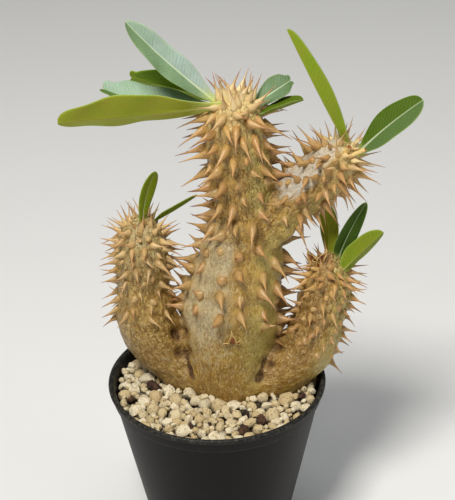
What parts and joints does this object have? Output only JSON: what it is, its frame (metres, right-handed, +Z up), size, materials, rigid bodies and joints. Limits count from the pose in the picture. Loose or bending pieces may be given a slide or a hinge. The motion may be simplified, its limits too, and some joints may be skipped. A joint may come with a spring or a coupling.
{
  "type": "potted pachypodium",
  "caption": "Branching spiny caudex plant with narrow leaves at its crowns, rooted in pumice in a round tapered nursery pot.",
  "frame": {"origin": "centre of the pot's flat underside, on the surface that the pot stands on", "axes": "+Z up along the pot's axis; +Y points away from the viewer; +X to the viewer's right, so the side branch leans to +X"},
  "size_m": [0.1366, 0.09, 0.2292],
  "materials": {
    "pot_plastic": "black moulded polypropylene, semi-gloss",
    "potting_mix": "dark crumbly bark and grit mix",
    "pumice": "cream-white porous grains, matte",
    "caudex_skin": "ochre to silver-grey wrinkled bark with tan spines",
    "leaf": "leathery green, silvery blue-green sheen on the upper side"
  },
  "bodies": {
    "root": {"pot": "pot_plastic", "potting_mix": "potting_mix", "pumice_top": "pumice", "caudex_and_branches": "caudex_skin", "leaf_top_upright": "leaf", "leaf_top_low": "leaf", "leaf_top_heart": "leaf", "leaf_top_back": "leaf", "leaf_top_right": "leaf", "leaf_top_right_low": "leaf", "leaf_branch_tall": "leaf", "leaf_branch_right": "leaf", "leaf_left_upright": "leaf", "leaf_left_low": "leaf", "leaf_right_back": "leaf", "leaf_right_middle": "leaf", "leaf_right_front": "leaf"}
  },
  "joints": []
}
